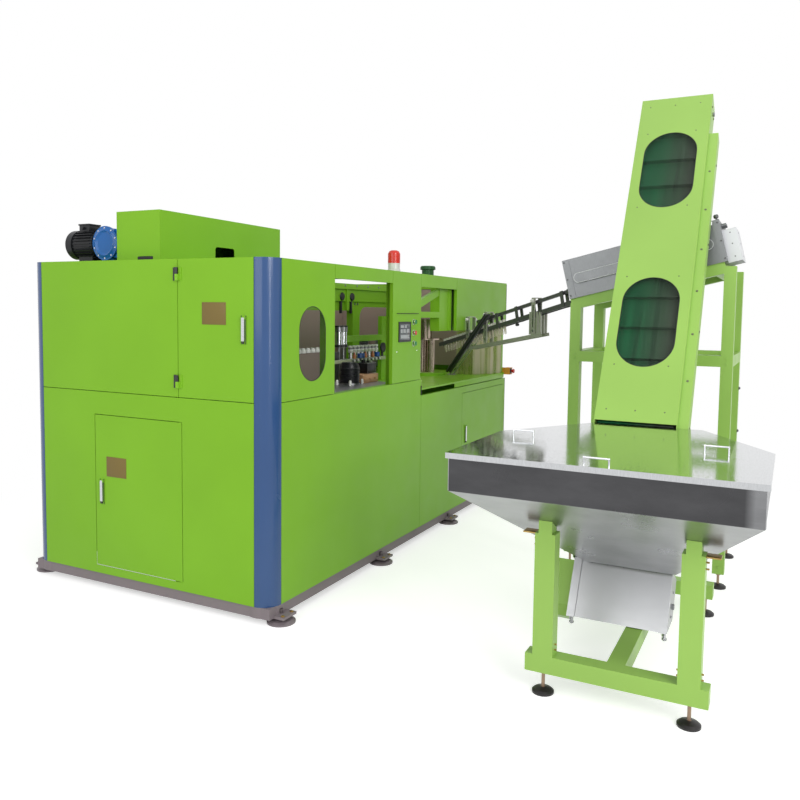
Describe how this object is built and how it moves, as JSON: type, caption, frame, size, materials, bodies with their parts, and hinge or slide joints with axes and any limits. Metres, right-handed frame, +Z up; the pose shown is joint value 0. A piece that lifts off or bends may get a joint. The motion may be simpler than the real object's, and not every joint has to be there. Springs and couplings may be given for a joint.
{
  "type": "blow moulding machine",
  "caption": "Cabinet stretch-blow moulding machine with a hopper, inclined belt elevator, preform unscrambler and sloping infeed chute.",
  "frame": {"origin": "middle of the sole of the cabinet's corner foot at the door end on the operator's side", "axes": "+X along the machine from the door end to the infeed end, +Y from the operator's side to the rear, +Z up"},
  "size_m": [4.096, 4.3528, 3.1713],
  "materials": {
    "green_paint": "semi-gloss paint",
    "feeder_paint": "semi-gloss paint",
    "blue_paint": "semi-gloss paint",
    "base_paint": "satin paint",
    "motor_black": "satin paint",
    "foot_black": "matte",
    "black_plastic": "matte",
    "latch_chrome": "bright",
    "clear_pane": "clear",
    "button_green": "gloss",
    "red_plastic": "gloss",
    "orange_box": "satin",
    "dark_green": "satin paint",
    "machine_steel": "machined",
    "mould_metal": "machined",
    "rail_dark": "dark satin",
    "stainless": "brushed",
    "case_grey": "satin",
    "belt_green": "matte",
    "roller_steel": "ground",
    "wheel_metal": "machined"
  },
  "bodies": {
    "machine": {"base_frame": "base_paint", "beacon": "red_plastic", "bed_tubes": "green_paint", "blower": "blue_paint", "blower_motor": "motor_black", "cabinet_frame": "green_paint", "chute_brackets": "machine_steel", "chute_rails": "rail_dark", "clamp_frame": "machine_steel", "control_panel": "green_paint", "corner_posts": "blue_paint", "door_hinges": "black_plastic", "elevator_belt": "belt_green", "elevator_body": "feeder_paint", "elevator_cover": "feeder_paint", "elevator_panes": "clear_pane", "end_panels": "green_paint", "exhaust_cap": "dark_green", "feeder_feet": "foot_black", "feeder_frame": "feeder_paint", "front_frame": "green_paint", "front_panels_lower": "green_paint", "front_panels_upper": "green_paint", "hopper_lid": "stainless", "hopper_tank": "stainless", "infeed_end_panel": "green_paint", "infeed_guard": "clear_pane", "infeed_ledge": "machine_steel", "machine_feet": "foot_black", "machine_table": "machine_steel", "oven": "machine_steel", "portal_frame": "green_paint", "rear_panels": "green_paint", "roof_panel": "green_paint", "stop_box": "orange_box", "tail_housing": "stainless", "top_duct": "green_paint", "touch_screen": "black_plastic", "unscrambler_case": "case_grey", "unscrambler_stand": "feeder_paint", "valve_rail": "machine_steel", "window_pane": "clear_pane"},
    "upper_door": {"end_door_upper": "green_paint"},
    "lower_door": {"end_door_lower": "green_paint"},
    "side_access_door": {"side_door": "green_paint"},
    "upper_latch": {"latch_lever_upper": "latch_chrome"},
    "lower_latch": {"latch_lever_lower": "latch_chrome"},
    "side_latch": {"latch_lever_side": "latch_chrome"},
    "start_button": {"button_start": "button_green"},
    "halt_button": {"button_stop": "red_plastic"},
    "reset_button": {"button_reset": "button_green"},
    "emergency_button": {"stop_button": "red_plastic"},
    "front_mould": {"mould_front": "mould_metal"},
    "rear_mould": {"mould_rear": "mould_metal"},
    "stretch_unit": {"stretch_carriage": "machine_steel"},
    "star_wheel": {"infeed_wheel": "wheel_metal"},
    "belt_tail_roller": {"tail_roller": "machine_steel"},
    "belt_head_roller": {"head_roller": "machine_steel"},
    "sorting_roller_front": {"roller_front": "roller_steel"},
    "sorting_roller_rear": {"roller_rear": "roller_steel"}
  },
  "joints": [
    {"name": "upper_door_hinge", "type": "hinge", "parent": "machine", "child": "upper_door", "pos_m": [-0.116, 0.635, 1.6], "axis": [0, 0, -1], "range_deg": [0, 110]},
    {"name": "lower_door_hinge", "type": "hinge", "parent": "machine", "child": "lower_door", "pos_m": [-0.097, 0.622, 0.6], "axis": [0, 0, 1], "range_deg": [0, 100]},
    {"name": "side_door_hinge", "type": "hinge", "parent": "machine", "child": "side_access_door", "pos_m": [3.577, 0.008, 0.6], "axis": [0, 0, 1], "range_deg": [0, 100]},
    {"name": "upper_latch_turn", "type": "hinge", "parent": "upper_door", "child": "upper_latch", "pos_m": [-0.114, 0.17, 1.675], "axis": [0, 1, 0], "range_deg": [0, 60], "stiffness_Nm_per_rad": 0.05},
    {"name": "lower_latch_turn", "type": "hinge", "parent": "lower_door", "child": "lower_latch", "pos_m": [-0.114, 1.243, 0.674], "axis": [0, 1, 0], "range_deg": [0, 60], "stiffness_Nm_per_rad": 0.05},
    {"name": "side_latch_turn", "type": "hinge", "parent": "side_access_door", "child": "side_latch", "pos_m": [2.65, -0.009, 0.753], "axis": [-1, 0, 0], "range_deg": [0, 60], "stiffness_Nm_per_rad": 0.05},
    {"name": "start_button_press", "type": "slide", "parent": "machine", "child": "start_button", "axis": [0, 1, 0], "range_m": [0, 0.004], "stiffness_N_per_m": 500},
    {"name": "halt_button_press", "type": "slide", "parent": "machine", "child": "halt_button", "axis": [0, 1, 0], "range_m": [0, 0.004], "stiffness_N_per_m": 500},
    {"name": "reset_button_press", "type": "slide", "parent": "machine", "child": "reset_button", "axis": [0, 1, 0], "range_m": [0, 0.004], "stiffness_N_per_m": 500},
    {"name": "emergency_button_press", "type": "slide", "parent": "machine", "child": "emergency_button", "axis": [0, 1, 0], "range_m": [0, 0.006], "stiffness_N_per_m": 800},
    {"name": "mould_front_slide", "type": "slide", "parent": "machine", "child": "front_mould", "axis": [0, -1, 0], "range_m": [0, 0.08]},
    {"name": "mould_rear_slide", "type": "slide", "parent": "machine", "child": "rear_mould", "axis": [0, 1, 0], "range_m": [0, 0.08]},
    {"name": "stretch_slide", "type": "slide", "parent": "machine", "child": "stretch_unit", "axis": [0, 0, -1], "range_m": [0, 0.135]},
    {"name": "star_wheel_turn", "type": "hinge", "parent": "machine", "child": "star_wheel", "pos_m": [2.975, 0.54, 1.3], "axis": [0, 0, 1], "continuous": true},
    {"name": "belt_tail_turn", "type": "hinge", "parent": "machine", "child": "belt_tail_roller", "pos_m": [0.5221, -1.706, 0.2744], "axis": [0, 1, 0], "continuous": true},
    {"name": "belt_head_turn", "type": "hinge", "parent": "machine", "child": "belt_head_roller", "pos_m": [2.1201, -1.706, 3.0422], "axis": [0, 1, 0], "continuous": true},
    {"name": "sorting_front_turn", "type": "hinge", "parent": "machine", "child": "sorting_roller_front", "pos_m": [1.986, -1.1066, 1.8685], "axis": [0, 0.9711, -0.2385], "continuous": true},
    {"name": "sorting_rear_turn", "type": "hinge", "parent": "machine", "child": "sorting_roller_rear", "pos_m": [2.104, -1.1066, 1.8685], "axis": [0, 0.9711, -0.2385], "continuous": true}
  ],
  "couplings": [
    {"joint": "mould_rear_slide", "follows": "mould_front_slide", "ratio": 1},
    {"joint": "belt_head_turn", "follows": "belt_tail_turn", "ratio": 1},
    {"joint": "sorting_rear_turn", "follows": "sorting_front_turn", "ratio": -1}
  ]
}
